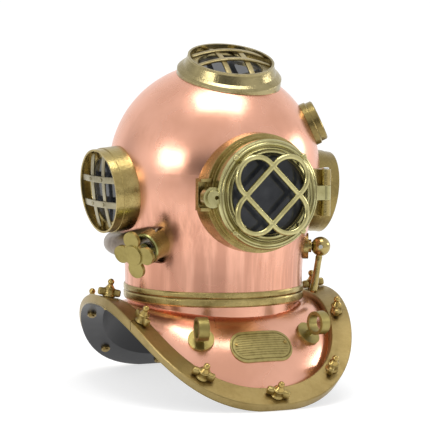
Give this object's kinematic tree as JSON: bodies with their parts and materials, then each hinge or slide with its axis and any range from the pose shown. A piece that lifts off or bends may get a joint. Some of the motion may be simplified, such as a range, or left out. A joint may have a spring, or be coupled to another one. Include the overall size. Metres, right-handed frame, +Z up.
{
  "type": "diving helmet",
  "caption": "Copper and brass surface-supplied diving helmet with hinged front port, guarded side and top ports, exhaust valve and clamped breastplate.",
  "frame": {"origin": "on the floor under the bonnet's axis, midway between the breastplate's sides and ends", "axes": "+Z up along the bonnet's axis, -Y out of the front port, +X towards the diver's left"},
  "size_m": [0.3351, 0.4206, 0.4516],
  "materials": {
    "copper_sheet": "spun copper sheet, polished",
    "strap_brass": "antique brass, satin",
    "cast_brass": "cast brass, satin",
    "door_brass": "pale brass, satin",
    "duct_bronze": "dull bronze",
    "steel": "turned, bright",
    "glass": "plate glass, dark inside",
    "gasket": "matte",
    "plate_brass": "engraved plate, satin"
  },
  "bodies": {
    "breastplate": {"breastplate_shell": "copper_sheet", "breastplate_ring": "cast_brass", "neck_gasket": "gasket", "front_brail": "strap_brass", "back_brail": "strap_brass", "left_brail": "strap_brass", "right_brail": "strap_brass", "rim_studs": "strap_brass", "wing_nuts": "strap_brass", "stud_caps": "cast_brass", "left_lanyard_eye": "cast_brass", "right_lanyard_eye": "cast_brass", "name_plate": "plate_brass", "plate_rivets": "cast_brass"},
    "bonnet": {"bonnet_shell": "copper_sheet", "bonnet_ring": "cast_brass", "front_port_frame": "cast_brass", "door_seal": "gasket", "hinge_pin": "steel", "latch_keeper": "cast_brass", "right_port_frame": "cast_brass", "right_port_gasket": "gasket", "right_port_glass": "glass", "right_port_retainer": "cast_brass", "right_port_guard": "cast_brass", "left_port_frame": "cast_brass", "left_port_gasket": "gasket", "left_port_glass": "glass", "left_port_retainer": "cast_brass", "left_port_guard": "cast_brass", "top_port_frame": "cast_brass", "top_port_gasket": "gasket", "top_port_glass": "glass", "top_port_retainer": "cast_brass", "top_port_guard": "cast_brass", "exhaust_body": "cast_brass", "exhaust_duct": "duct_bronze", "exhaust_disc": "gasket", "exhaust_spring": "steel", "spitcock_body": "cast_brass", "phone_cup": "cast_brass", "phone_cap": "cast_brass", "air_elbow": "cast_brass", "phone_elbow": "cast_brass", "air_check_valve": "cast_brass"},
    "door": {"door_ring": "door_brass", "door_glass_gasket": "gasket", "door_glass": "glass", "door_bezel": "door_brass", "door_guard": "door_brass", "guard_screws": "door_brass"},
    "exhaust_handwheel": {"exhaust_stem": "steel", "exhaust_wheel": "cast_brass"},
    "spitcock_handle": {"spitcock_spindle": "cast_brass", "spitcock_lever": "cast_brass", "spitcock_set_screw": "steel"}
  },
  "joints": [
    {"name": "bonnet_turn", "type": "hinge", "parent": "breastplate", "child": "bonnet", "pos_m": [0, 0, 0.1292], "axis": [0, 0, 1], "range_deg": [-45, 0]},
    {"name": "door_hinge", "type": "hinge", "parent": "bonnet", "child": "door", "pos_m": [0.0835, -0.156, 0.2653], "axis": [0, 0, 1], "range_deg": [0, 140]},
    {"name": "exhaust_wheel_turn", "type": "hinge", "parent": "bonnet", "child": "exhaust_handwheel", "pos_m": [-0.10472, -0.05757, 0.1995], "axis": [-0.8444, -0.4642, -0.2672], "range_deg": [0, 540]},
    {"name": "spitcock_turn", "type": "hinge", "parent": "bonnet", "child": "spitcock_handle", "pos_m": [0.10786, -0.05145, 0.187], "axis": [0.9026, -0.4305, 0], "range_deg": [-90, 0]}
  ]
}
